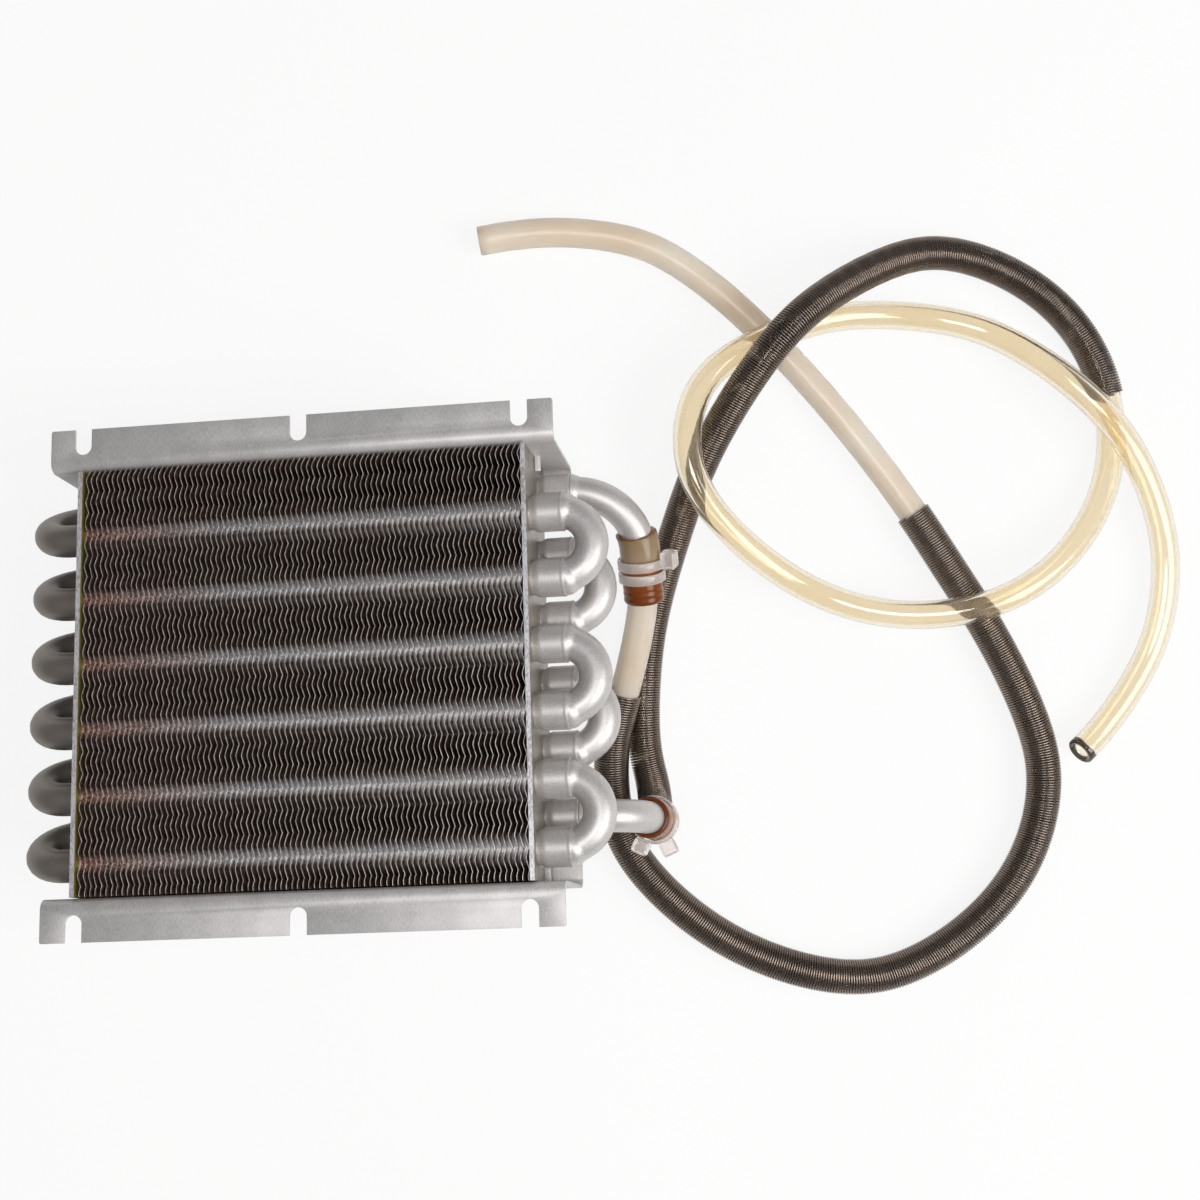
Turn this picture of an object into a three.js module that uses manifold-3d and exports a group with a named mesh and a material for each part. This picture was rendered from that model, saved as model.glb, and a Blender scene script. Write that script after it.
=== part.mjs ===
// Finned-tube heat exchanger with two hoses: the wort cooling coil of a home brewery.
// Millimetres, +Z up. The exchanger lies on its back, tilted, on its upper rear corner and its hoses.
import * as THREE from 'three';
import { mergeVertices } from 'three/addons/utils/BufferGeometryUtils.js';
import Module from 'manifold-3d';

const wasm = await Module();
wasm.setup();

// Driving dimensions.
const gap = 0.3;                 // left between pieces that touch
const tubeDiameter = 12.7;
const tubePitch = 25.4;          // between tubes of one row
const tubeRows = 6;              // tubes in the front row, and as many behind
const rowDepth = 22;             // front row to rear row
const frontRowInset = 11;        // front face of the core to the front row
const edgeMargin = 12.7;         // outermost tube centres to the core's upper and lower edges
const coreWidth = 176.6;         // over the end plates
const coreDepth = 44;
const plateThickness = 1.8;
const finCount = 82;
const finThickness = 0.8;
const finRecess = 0.5;           // fin edges behind the plate edges
const grooveWall = 0.35;         // metal left between a groove's floor and the tube bores
const sheet = 1.2;               // bracket sheet
const foldRadius = 4;            // outside of each fold
const flangeHeight = 16.5;
const bracketOverhang = 11.1;    // bracket ends beyond the end plates
const flangeProud = 0.5;         // front flange ahead of the core
const rearClearance = 1.8;       // core to the rear flange
const flangeCorner = 0.8;
const slotWidth = 6.6;
const slotDepth = 10.2;
const slotInset = 13.1;          // slot centre from the bracket end
const lugWidth = 2.2;
const lugHeight = 6.2;
const lugBehindFront = 22;
const hairpinStandOut = 6.4;     // straight tube beyond the left plate
const socketLength = 12.9;       // bell socket beyond the right plate
const socketFit = 0.5;           // bend to the socket round it
const socketWall = 0.75;
const insertDepth = 7;           // bend end inside its socket
const returnBendInset = 2.4;     // bend begins this far inside the mouth
const portRadius = 25;
const upperPortDrop = 28;        // degrees that the upper port leans toward the back
const upperStub = 7.5;
const lowerStub = 5;
const sleeveWall = 1.25;
const sleeveOverlap = 18;        // degrees of the port bend under the sleeve
const sleeveStiffness = 0.7;     // 1 keeps the sleeve's rim square to its own axis, 0 to the bend
const upperSleeveLength = 21;    // beyond the bend
const lowerSleeveLength = 12.5;
const tieWidth = 4;
const tieThickness = 0.9;
const upperTieOffsets = [5.2, 10.4];
const lowerTieOffsets = [4, 9.2];
const tieHead = { length: 6.4, width: 7, height: 6, aside: 1.6 };    // a head leans away from the other tie
const siliconeDiameter = 12;
const siliconeGuardDiameter = 14.5;
const clearDiameter = 11.5;
const clearGuardDiameter = 14;
const hoseClearance = 0.25;      // hose to the guard round it
const guideLength = 2;           // straight hose below a sleeve's end
const tilt = new THREE.Euler(
  THREE.MathUtils.degToRad(-10.83), THREE.MathUtils.degToRad(-7.55), THREE.MathUtils.degToRad(1.77), 'XYZ');

const tubeRadius = tubeDiameter / 2;
const coreHeight = (tubeRows - 0.5) * tubePitch + 2 * edgeMargin;
const halfCore = coreHeight / 2;
const plateOuter = coreWidth / 2;
const mouthX = plateOuter + socketLength;
const socketBore = tubeRadius + socketFit;
const socketRadius = socketBore + socketWall;
const sleeveBore = Math.max(tubeDiameter, siliconeDiameter, clearDiameter) / 2 + 2 * gap;
const sleeveRadius = sleeveBore + sleeveWall;
const bracketHalf = plateOuter + bracketOverhang;

// Looks.
const material = (color, roughness, metalness, opacity = 1) => new THREE.MeshStandardMaterial(
  { color, roughness, metalness, opacity, transparent: opacity < 1 });
const zincSheet = () => material(0xb4b4b6, 0.5, 0.7);
const plateSheet = () => material(0xc4c4c8, 0.4, 0.8);
const finMetal = () => material(0x55504c, 0.6, 0.6);
const satinTube = () => material(0xbfc0c2, 0.35, 0.85);
const amberRubber = () => material(0xa8602c, 0.4, 0);
const tieNylon = () => material(0xdcd8e4, 0.45, 0);
const springSteel = () => material(0x57504b, 0.4, 0.8);

// Shape helpers.
const v = (x, y, z) => new THREE.Vector3(x, y, z);

// A path whose stations are listed, so that each ring of a section falls on one of them.
class StationPath extends THREE.Curve {
  constructor(points, tangents) {
    super();
    this.points = points;
    this.tangents = tangents;
  }
  at(list, t) { return list[Math.round(t * (list.length - 1))]; }
  getPoint(t, target = v(0, 0, 0)) { return target.copy(this.at(this.points, t)); }
  getPointAt(t, target) { return this.getPoint(t, target); }
  getTangent(t, target = v(0, 0, 0)) { return target.copy(this.at(this.tangents, t)); }
  getTangentAt(t, target) { return this.getTangent(t, target); }
}

// Straight runs and bends laid end to end.
class TubeRun {
  constructor(start, direction) {
    this.points = [start.clone()];
    this.tangents = [direction.clone().normalize()];
  }
  get end() { return this.points.at(-1); }
  get heading() { return this.tangents.at(-1); }
  line(length) {
    this.points.push(this.end.clone().addScaledVector(this.heading, length));
    this.tangents.push(this.heading.clone());
    return this;
  }
  bend(radius, toward, angle, steps, from = 0) {
    const start = this.end.clone(), ahead = this.heading.clone(), side = toward.clone().normalize();
    for (let i = 1; i <= steps; i++) {
      const a = from + (angle - from) * i / steps;
      const turn = b => start.clone().addScaledVector(ahead, radius * Math.sin(b))
        .addScaledVector(side, radius * (1 - Math.cos(b)));
      this.points.push(turn(a));
      this.tangents.push(ahead.clone().multiplyScalar(Math.cos(a)).addScaledVector(side, Math.sin(a)));
    }
    return this;
  }
}

const ringShape = (radius, sides, bore = 0) => {
  const ring = r => Array.from({ length: sides }, (_, i) => {
    const a = 2 * Math.PI * i / sides;
    return new THREE.Vector2(r * Math.cos(a), r * Math.sin(a));
  });
  const shape = new THREE.Shape(ring(radius));
  if (bore > 0) shape.holes.push(new THREE.Path(ring(bore).reverse()));
  return shape;
};

const sweep = (run, radius, sides, bore = 0) => new THREE.ExtrudeGeometry(ringShape(radius, sides, bore), {
  steps: run.points.length - 1,
  extrudePath: new StationPath(run.points, run.tangents),
});

const extrude = (shape, depth) => new THREE.ExtrudeGeometry(shape, { depth, bevelEnabled: false });

// A round bar along +X from x0 to x1, about the line through y and z.
const barX = (radius, x0, x1, y, z, sides = 12) => new THREE.CylinderGeometry(radius, radius, x1 - x0, sides)
  .rotateZ(-Math.PI / 2).translate((x0 + x1) / 2, y, z);

const solidOf = geometry => {
  const bare = geometry.clone();
  bare.deleteAttribute('normal');
  bare.deleteAttribute('uv');
  const merged = mergeVertices(bare, 1e-4);
  return new wasm.Manifold(new wasm.Mesh({
    numProp: 3,
    vertProperties: new Float32Array(merged.attributes.position.array),
    triVerts: new Uint32Array(merged.index.array),
  }));
};

const geometryOf = solid => {
  const mesh = solid.getMesh();
  const geometry = new THREE.BufferGeometry();
  geometry.setAttribute('position', new THREE.BufferAttribute(mesh.vertProperties, 3));
  geometry.setIndex(new THREE.BufferAttribute(mesh.triVerts, 1));
  geometry.computeVertexNormals();
  return geometry;
};

const join = (first, ...others) => others.reduce((all, next) => all.add(solidOf(next)), solidOf(first));
const cut = (solid, ...tools) => tools.reduce((rest, tool) => rest.subtract(solidOf(tool)), solid);

// The exchanger's own frame: centre of the core's front face, +X right, +Y up, +Z out of the face.
const exchanger = new THREE.Group();
const piece = (parent, name, geometry, look) => {
  const mesh = new THREE.Mesh(geometry, look);
  mesh.name = name;
  parent.add(mesh);
  return mesh;
};

const frontZ = -frontRowInset;
const rearZ = frontZ - rowDepth;
const rowTop = (tubeRows - 1) / 2 * tubePitch;
const frontY = i => rowTop - tubePitch / 4 - tubePitch * i;
const rearY = i => rowTop + tubePitch / 4 - tubePitch * i;
const tubeCentres = Array.from({ length: tubeRows },
  (_, i) => [[frontY(i), frontZ], [rearY(i), rearZ]]).flat();
const bores = (x0, x1) => tubeCentres.map(([y, z]) => barX(tubeRadius + gap, x0, x1, y, z));

// End plates.
const plateHeight = coreHeight - 2 * gap;
const plateStarts = [['left_end_plate', -plateOuter], ['right_end_plate', plateOuter - plateThickness]];
for (const [name, x0] of plateStarts) {
  const blank = new THREE.BoxGeometry(plateThickness, plateHeight, coreDepth)
    .translate(x0 + plateThickness / 2, 0, -coreDepth / 2);
  const drilled = cut(solidOf(blank), ...bores(x0 - 1, x0 + plateThickness + 1));
  piece(exchanger, name, geometryOf(drilled), plateSheet());
}

// Fin pack: the fins' edges stand free in front and behind, and are one block round the tubes.
const finSpan = coreWidth - 2 * plateThickness - 2 * gap;
const finPitch = (finSpan - finThickness) / (finCount - 1);
const grooveDepth = frontRowInset - tubeRadius - gap - grooveWall - finRecess;
const comb = new THREE.Shape();
const finEdge = i => -finSpan / 2 + finPitch * i;
comb.moveTo(finEdge(0), -finRecess);
for (let i = 0; i < finCount; i++) {
  comb.lineTo(finEdge(i) + finThickness, -finRecess);
  if (i === finCount - 1) break;
  comb.lineTo(finEdge(i) + finThickness, -finRecess - grooveDepth);
  comb.lineTo(finEdge(i + 1), -finRecess - grooveDepth);
  comb.lineTo(finEdge(i + 1), -finRecess);
}
const rearEdge = -coreDepth + finRecess;
for (let i = finCount - 1; i >= 0; i--) {
  comb.lineTo(finEdge(i) + finThickness, rearEdge);
  comb.lineTo(finEdge(i), rearEdge);
  if (i === 0) break;
  comb.lineTo(finEdge(i), rearEdge + grooveDepth);
  comb.lineTo(finEdge(i - 1) + finThickness, rearEdge + grooveDepth);
}
comb.closePath();
const finBlock = extrude(comb, plateHeight).rotateX(Math.PI / 2).translate(0, plateHeight / 2, 0);
const drilledBlock = cut(solidOf(finBlock), ...bores(-coreWidth / 2, coreWidth / 2));
piece(exchanger, 'fin_pack', geometryOf(drilledBlock), finMetal());

// Hairpin tubes: up through the front row, round, and back through the rear row, with a socket on each end.
const socketFloor = mouthX - insertDepth - gap;
for (let i = 0; i < tubeRows; i++) {
  const front = v(0, frontY(i), frontZ), rear = v(0, rearY(i), rearZ);
  const across = rear.clone().sub(front);
  const bendX = -plateOuter - hairpinStandOut;
  const run = new TubeRun(v(socketFloor, front.y, front.z), v(-1, 0, 0))
    .line(socketFloor - bendX).bend(across.length() / 2, across, Math.PI, 12).line(socketFloor - bendX);
  const cups = [front, rear].map(c => barX(socketRadius, plateOuter + gap, mouthX, c.y, c.z, 16));
  const mouths = [front, rear].map(c => barX(socketBore, socketFloor, mouthX + 1, c.y, c.z, 16));
  const hairpin = cut(join(sweep(run, tubeRadius, 12), ...cups), ...mouths);
  piece(exchanger, `hairpin_tube_${i + 1}`, geometryOf(hairpin), satinTube());
}

// Return bends, each seated in two sockets.
const returnBend = (name, y, z) => {
  const straight = insertDepth - returnBendInset;
  const run = new TubeRun(v(mouthX - insertDepth, y, z), v(1, 0, 0))
    .line(straight).bend(tubePitch / 2, v(0, -1, 0), Math.PI, 12).line(straight);
  piece(exchanger, name, sweep(run, tubeRadius, 12), satinTube());
};
for (let i = 0; i < tubeRows; i += 2) returnBend(`front_return_bend_${i / 2 + 1}`, frontY(i), frontZ);
for (let i = 1; i < tubeRows - 1; i += 2) returnBend(`rear_return_bend_${(i + 1) / 2}`, rearY(i), rearZ);

// Ports: an elbow from the first and the last tube of the rear row, a sleeve over its end, and two ties.
const ports = {};
const makePort = (side, y, toward, stub, sleeveLength, tieOffsets, headSides) => {
  const run = new TubeRun(v(mouthX - insertDepth, y, rearZ), v(1, 0, 0))
    .line(insertDepth).bend(portRadius, toward, Math.PI / 2, 10);
  const bendEnd = run.end.clone();
  run.line(stub);
  piece(exchanger, `${side}_port_elbow`, sweep(run, tubeRadius, 12), satinTube());

  const overlap = THREE.MathUtils.degToRad(sleeveOverlap);
  const bendStart = v(mouthX, y, rearZ), ahead = v(1, 0, 0);
  const sleeve = new TubeRun(bendStart, ahead);
  sleeve.bend(portRadius, toward, Math.PI / 2, 4, Math.PI / 2 - overlap);
  const first = Math.PI / 2 - overlap;
  sleeve.points[0] = bendStart.clone().addScaledVector(ahead, portRadius * Math.sin(first))
    .addScaledVector(toward, portRadius * (1 - Math.cos(first)));
  sleeve.tangents[0] = ahead.clone().multiplyScalar(Math.cos(first)).addScaledVector(toward, Math.sin(first));
  sleeve.tangents.forEach(t => t.lerp(toward, sleeveStiffness).normalize());
  sleeve.line(sleeveLength);
  piece(exchanger, `${side}_coupling_sleeve`, sweep(sleeve, sleeveRadius, 16, sleeveBore), amberRubber());

  // Each tie is a band with its head standing off one side.
  const inner = sleeveRadius + gap, outer = inner + tieThickness;
  const w = tieWidth / 2;
  tieOffsets.forEach((offset, i) => {
    const face = headSides[i].clone().addScaledVector(toward, -headSides[i].dot(toward)).normalize();
    const third = new THREE.Vector3().crossVectors(face, toward);
    const band = new THREE.LatheGeometry([[inner, -w], [outer, -w], [outer, w], [inner, w], [inner, -w]]
      .map(([r, h]) => new THREE.Vector2(r, h)), 20);
    const head = new THREE.BoxGeometry(tieHead.height, tieHead.width, tieHead.length)
      .translate(outer + tieHead.height / 2 - tieThickness / 2, (i ? 1 : -1) * tieHead.aside, 0);
    const basis = new THREE.Matrix4().makeBasis(face, toward, third);
    basis.setPosition(bendEnd.clone().addScaledVector(toward, offset));
    const tie = geometryOf(solidOf(band).add(solidOf(head)));
    piece(exchanger, `${side}_tie_${i + 1}`, tie.applyMatrix4(basis), tieNylon());
  });
  ports[side] = { start: bendEnd.clone().addScaledVector(toward, stub + gap),
    guide: bendEnd.clone().addScaledVector(toward, sleeveLength + guideLength) };
};
const lean = THREE.MathUtils.degToRad(upperPortDrop);
makePort('upper', rearY(0), v(0, -Math.cos(lean), -Math.sin(lean)), upperStub, upperSleeveLength,
  upperTieOffsets, [v(1, 0, 0.3), v(-0.25, 0, -1)]);
makePort('lower', rearY(tubeRows - 1), v(0, 0, -1), lowerStub, lowerSleeveLength,
  lowerTieOffsets, [v(-0.5, -1, 0), v(0.45, -1, 0)]);

// Brackets: a Z-section folded from sheet, with three slots open to the edge and a lug beside each end plate.
const bracketFront = flangeProud, bracketRear = -coreDepth - rearClearance - sheet;
const webY = halfCore, flangeTop = webY + flangeHeight, rearFoot = webY + sheet - flangeHeight;
const section = new THREE.Shape();     // x of the outline is depth, y is height
const outsideFold = foldRadius, insideFold = foldRadius - sheet;
section.moveTo(bracketFront, flangeTop);
section.lineTo(bracketFront, webY + outsideFold);
section.absarc(bracketFront - outsideFold, webY + outsideFold, outsideFold, 0, -Math.PI / 2, true);
section.lineTo(bracketRear + sheet + insideFold, webY);
section.absarc(bracketRear + sheet + insideFold, webY - insideFold, insideFold, Math.PI / 2, Math.PI, false);
section.lineTo(bracketRear + sheet, rearFoot);
section.lineTo(bracketRear, rearFoot);
section.lineTo(bracketRear, webY + sheet - outsideFold);
section.absarc(bracketRear + outsideFold, webY + sheet - outsideFold, outsideFold,
  Math.PI, Math.PI / 2, true);
section.lineTo(bracketFront - sheet - insideFold, webY + sheet);
section.absarc(bracketFront - sheet - insideFold, webY + sheet + insideFold, insideFold,
  -Math.PI / 2, 0, false);
section.lineTo(bracketFront - sheet, flangeTop);
section.closePath();

const face = new THREE.Shape();        // front view, with the slots
face.moveTo(-bracketHalf, rearFoot - 1);
face.lineTo(bracketHalf, rearFoot - 1);
face.lineTo(bracketHalf, flangeTop - flangeCorner);
face.absarc(bracketHalf - flangeCorner, flangeTop - flangeCorner, flangeCorner, 0, Math.PI / 2, false);
const slotCentres = [bracketHalf - slotInset, 0, -bracketHalf + slotInset];
for (const x of slotCentres) {
  const r = slotWidth / 2, floor = flangeTop - slotDepth + r;
  face.lineTo(x + r, flangeTop);
  face.lineTo(x + r, floor);
  face.absarc(x, floor, r, 0, -Math.PI, true);
  face.lineTo(x - r, flangeTop);
}
face.lineTo(-bracketHalf + flangeCorner, flangeTop);
face.absarc(-bracketHalf + flangeCorner, flangeTop - flangeCorner, flangeCorner, Math.PI / 2, Math.PI, false);
face.closePath();

const bracketSolid = () => {
  const folded = solidOf(new THREE.ExtrudeGeometry(section, { depth: 2 * bracketHalf, bevelEnabled: false,
    curveSegments: 5 }).rotateY(-Math.PI / 2).translate(bracketHalf, 0, 0));
  const outline = solidOf(new THREE.ExtrudeGeometry(face, { depth: coreDepth + 20, bevelEnabled: false,
    curveSegments: 8 }).translate(0, 0, bracketRear - 5));
  const lugs = [-1, 1].map(s => new THREE.BoxGeometry(lugWidth, lugHeight + sheet, sheet).translate(
    s * (plateOuter + gap + lugWidth / 2), webY + (sheet - lugHeight) / 2, -lugBehindFront));
  return lugs.reduce((all, lug) => all.add(solidOf(lug)), folded.intersect(outline));
};
piece(exchanger, 'upper_bracket', geometryOf(bracketSolid()), zincSheet());
piece(exchanger, 'lower_bracket', geometryOf(bracketSolid()).rotateZ(Math.PI), zincSheet());

// The part: the exchanger tilted, with the origin under the centre of its box.
const part = new THREE.Group();
part.add(exchanger);
exchanger.rotation.copy(tilt);
const box = new THREE.Box3().setFromObject(exchanger, true);
exchanger.position.set(-(box.min.x + box.max.x) / 2, -(box.min.y + box.max.y) / 2, -box.min.z);
part.updateMatrixWorld(true);

// Hoses: each starts in its port's sleeve and then lies on the table.
const routeOf = (port, laid) => {
  const own = ['start', 'guide'].map(k => exchanger.localToWorld(ports[port][k].clone()));
  const points = [...own, ...laid.map(p => v(...p))];
  const curve = new THREE.CatmullRomCurve3(points, false, 'centripetal');
  return { points, tangents: points.map((_, i) => curve.getTangent(i / (points.length - 1))) };
};
const stretch = (route, from, to) => ({ points: route.points.slice(from, to + 1),
  tangents: route.tangents.slice(from, to + 1) });
const facets = 12;
const guardBore = diameter => (diameter / 2 + hoseClearance) / Math.cos(Math.PI / facets);

// Silicone hose: down over the other guard, round the front of the table and back to its cut end.
const siliconeRoute = routeOf('upper', [
  [106.0, -14.7, 20.0], [100.9, -33.7, 14.8], [103.3, -67.1, 7.6], [116.4, -88.5, 7.5], [150.3, -116.7, 7.5],
  [196.9, -130.7, 7.5], [222.1, -125.9, 7.5], [243.9, -113.4, 7.5], [262.1, -96.5, 7.5], [274.3, -75.8, 7.5],
  [279.7, -51.9, 7.5], [276.8, -27.7, 7.5], [255.2, 15.9, 7.5], [240.6, 37.7, 7.5], [227.0, 59.5, 7.5],
  [201.7, 93.7, 6.3], [179.7, 119.1, 6.3], [151.8, 147.9, 6.3], [125.0, 167.4, 6.3], [107.9, 174.4, 6.3],
  [74.4, 177.8, 6.3], [46.9, 173.4, 6.3]]);
const siliconeGuarded = [2, 16];       // stations at the guard's ends
piece(part, 'silicone_hose', sweep(siliconeRoute, siliconeDiameter / 2, facets), material(0xe6dcc8, 0.45, 0));
const siliconeStretch = stretch(siliconeRoute, ...siliconeGuarded);
piece(part, 'silicone_hose_guard', sweep(siliconeStretch, siliconeGuardDiameter / 2,
  facets, guardBore(siliconeDiameter)), springSteel());

// Clear hose: away under the silicone hose, round a wide loop, and back across itself to its cut end.
const clearRoute = routeOf('lower', [
  [119.6, -61.1, 19.8], [119.1, -55.5, 12.2], [117.9, -46.2, 7.9], [114.2, -33.8, 7.4], [115.6, 5.2, 7.3],
  [120.3, 29.1, 7.4], [131.2, 64.4, 12.0], [140.7, 89.2, 19.5], [165.1, 127.6, 33.6], [183.8, 145.8, 29.8],
  [217.7, 165.6, 13.5], [243.0, 169.4, 7.8], [286.7, 148.4, 7.3], [307.2, 109.0, 7.3], [305.5, 71.3, 6.2],
  [290.7, 48.0, 12.5], [274.7, 33.5, 18.5], [249.2, 21.3, 22.2], [211.6, 19.3, 16.0], [183.3, 29.1, 14.5],
  [161.8, 42.2, 20.5], [136.2, 66.7, 29.8], [130.4, 89.6, 30.5], [135.7, 110.6, 24.5], [148.5, 124.4, 20.4],
  [181.1, 138.6, 16.2], [202.2, 142.8, 10.5], [238.6, 141.3, 7.0], [264.0, 132.5, 11.5], [296.7, 106.2, 21.2],
  [315.2, 83.5, 17.0], [330.0, 49.0, 7.0], [328.0, 19.0, 6.1], [320.4, -2.4, 6.1], [302.7, -27.7, 7.5],
  [292.6, -36.3, 12.3]]);
const clearGuarded = [1, 15];
piece(part, 'clear_hose', sweep(clearRoute, clearDiameter / 2, facets), material(0xf0e4c4, 0.15, 0, 0.5));
piece(part, 'clear_hose_guard', sweep(stretch(clearRoute, ...clearGuarded), clearGuardDiameter / 2,
  facets, guardBore(clearDiameter)), springSteel());

export default part;
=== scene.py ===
import math
import bpy
from mathutils import Matrix, Vector


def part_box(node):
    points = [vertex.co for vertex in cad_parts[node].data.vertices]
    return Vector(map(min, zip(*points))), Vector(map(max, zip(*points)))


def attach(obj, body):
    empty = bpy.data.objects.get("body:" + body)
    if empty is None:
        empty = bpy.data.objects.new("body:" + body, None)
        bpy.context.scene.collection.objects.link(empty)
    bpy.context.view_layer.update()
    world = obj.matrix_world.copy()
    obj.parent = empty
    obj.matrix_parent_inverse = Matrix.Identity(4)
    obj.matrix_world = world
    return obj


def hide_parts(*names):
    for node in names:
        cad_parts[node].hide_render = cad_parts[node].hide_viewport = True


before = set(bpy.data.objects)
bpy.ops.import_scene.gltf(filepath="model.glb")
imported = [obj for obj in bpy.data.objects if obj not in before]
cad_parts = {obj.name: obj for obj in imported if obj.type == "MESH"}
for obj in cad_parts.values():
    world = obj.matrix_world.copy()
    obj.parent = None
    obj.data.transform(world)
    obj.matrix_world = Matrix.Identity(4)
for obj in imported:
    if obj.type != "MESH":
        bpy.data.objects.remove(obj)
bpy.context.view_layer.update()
scene = bpy.context.scene
mm = 0.001

# The exchanger lies tilted on its back. Its pieces are drawn in its own frame, in millimetres: +X right,
# +Y up and +Z out of the face, from the centre of the front face. placeExchanger lays them on the table.
exchanger = {
    "tiltDegrees": (-10.83, -7.55, 1.77),
    "coreWidth": 176.6,
    "coreHeight": 165.1,
    "coreDepth": 44.0,
    "plate": 1.8,
    "tubeRadius": 6.35,
    "tubePitch": 25.4,
    "frontRow": -11.0,
    "rearRow": -33.0,
    "rows": 6,
}
tilt = Matrix.Identity(3)
for angle, axis in zip(exchanger["tiltDegrees"], "XYZ"):
    tilt = tilt @ Matrix.Rotation(math.radians(angle), 3, axis)
packLow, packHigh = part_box("fin_pack")
faceCentre = (packLow + packHigh) / 2 + tilt @ Vector((0, 0, exchanger["coreDepth"] / 2 * mm))
placeExchanger = Matrix.Translation(faceCentre) @ tilt.to_4x4() @ Matrix.Scale(mm, 4)
plateFace = exchanger["coreWidth"] / 2


def frontY(i):
    return ((exchanger["rows"] - 1) / 2 - i) * exchanger["tubePitch"] - exchanger["tubePitch"] / 4


def rearY(i):
    return frontY(i) + exchanger["tubePitch"] / 2


# Camera: straight above the table.
cameraSettings = {"position": (0.09668, 0.02578, 0.79285), "lens": 57.34}
camera = bpy.data.objects.new("camera", bpy.data.cameras.new("camera"))
camera.location = cameraSettings["position"]
camera.data.lens = cameraSettings["lens"]
camera.data.clip_start = 0.01
scene.collection.objects.link(camera)
scene.camera = camera
print("camera placed")


# Colours, nodes and meshes.
def linearColour(hexCode):
    channels = [int(hexCode[i : i + 2], 16) / 255 for i in (0, 2, 4)]
    return tuple(c / 12.92 if c <= 0.04045 else ((c + 0.055) / 1.055) ** 2.4 for c in channels) + (1.0,)


# Adds one node: "settings" are its own fields, and each of its inputs takes a value or another node's output.
# A colour ramp also takes "stops", a list of (position, hex colour).
def addNode(tree, kind, settings=None, inputs=None, stops=()):
    node = tree.nodes.new(kind)
    for field, value in (settings or {}).items():
        setattr(node, field, value)
    for key, source in (inputs or {}).items():
        if isinstance(source, bpy.types.NodeSocket):
            tree.links.new(source, node.inputs[key])
        else:
            node.inputs[key].default_value = source
    if stops:
        elements = node.color_ramp.elements
        while len(elements) < len(stops):
            elements.new(0.5)
        for element, (position, hexCode) in zip(elements, stops):
            element.position, element.color = position, linearColour(hexCode)
    return node


def finishPiece(piece, cadNodes, material=None):
    if material:
        piece.data.materials.clear()
        piece.data.materials.append(material)
    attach(piece, "root")
    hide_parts(*cadNodes)


def pieceFrom(name, vertices, faces, place=None, uvs=None):
    mesh = bpy.data.meshes.new(name)
    mesh.from_pydata([tuple(v) for v in vertices], [], faces)
    if uvs:
        layer = mesh.uv_layers.new(name="along")
        for loop in mesh.loops:
            layer.data[loop.index].uv = uvs[loop.vertex_index]
    if place:
        mesh.transform(place)
    mesh.polygons.foreach_set("use_smooth", [True] * len(mesh.polygons))
    piece = bpy.data.objects.new(name, mesh)
    scene.collection.objects.link(piece)
    return piece


def joinInto(piece, other):
    bpy.ops.object.select_all(action="DESELECT")
    piece.select_set(True)
    other.select_set(True)
    bpy.context.view_layer.objects.active = piece
    bpy.ops.object.join()


# A line through space with its length measured and a frame carried along it without twist.
class Route:
    def __init__(self, points):
        self.points = [Vector(p) for p in points]
        self.lengths = [0.0]
        for a, b in zip(self.points, self.points[1:]):
            self.lengths.append(self.lengths[-1] + (b - a).length)
        n = len(self.points)
        self.tangents = [
            (self.points[min(i + 1, n - 1)] - self.points[max(i - 1, 0)]).normalized() for i in range(n)
        ]
        side = self.tangents[0].orthogonal().normalized()
        self.sides = []
        for t in self.tangents:
            side = (side - t * side.dot(t)).normalized()
            self.sides.append(side.copy())

    @property
    def length(self):
        return self.lengths[-1]

    def frameAt(self, s):
        s = min(max(s, 0.0), self.length)
        low, high = 0, len(self.lengths) - 1
        while high - low > 1:
            middle = (low + high) // 2
            if self.lengths[middle] <= s:
                low = middle
            else:
                high = middle
        share = (s - self.lengths[low]) / max(self.lengths[high] - self.lengths[low], 1e-9)
        point = self.points[low].lerp(self.points[high], share)
        tangent = self.tangents[low].lerp(self.tangents[high], share).normalized()
        side = self.sides[low].lerp(self.sides[high], share)
        side = (side - tangent * side.dot(tangent)).normalized()
        return point, tangent, side, tangent.cross(side)


# A straight run, a bend and so on, in one plane.
class Run:
    def __init__(self, start, heading):
        self.points = [Vector(start)]
        self.heading = Vector(heading).normalized()

    def line(self, length, step=1.0):
        start, count = self.points[-1], max(1, round(length / step))
        self.points += [start + self.heading * length * i / count for i in range(1, count + 1)]
        return self

    def bend(self, radius, toward, degrees, step=3.0):
        start, ahead, side = self.points[-1], self.heading.copy(), Vector(toward).normalized()
        count = max(4, round(degrees / step))
        for i in range(1, count + 1):
            a = math.radians(degrees) * i / count
            self.points.append(start + ahead * radius * math.sin(a) + side * radius * (1 - math.cos(a)))
        a = math.radians(degrees)
        self.heading = ahead * math.cos(a) + side * math.sin(a)
        return self

    def route(self):
        return Route(self.points)


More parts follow.
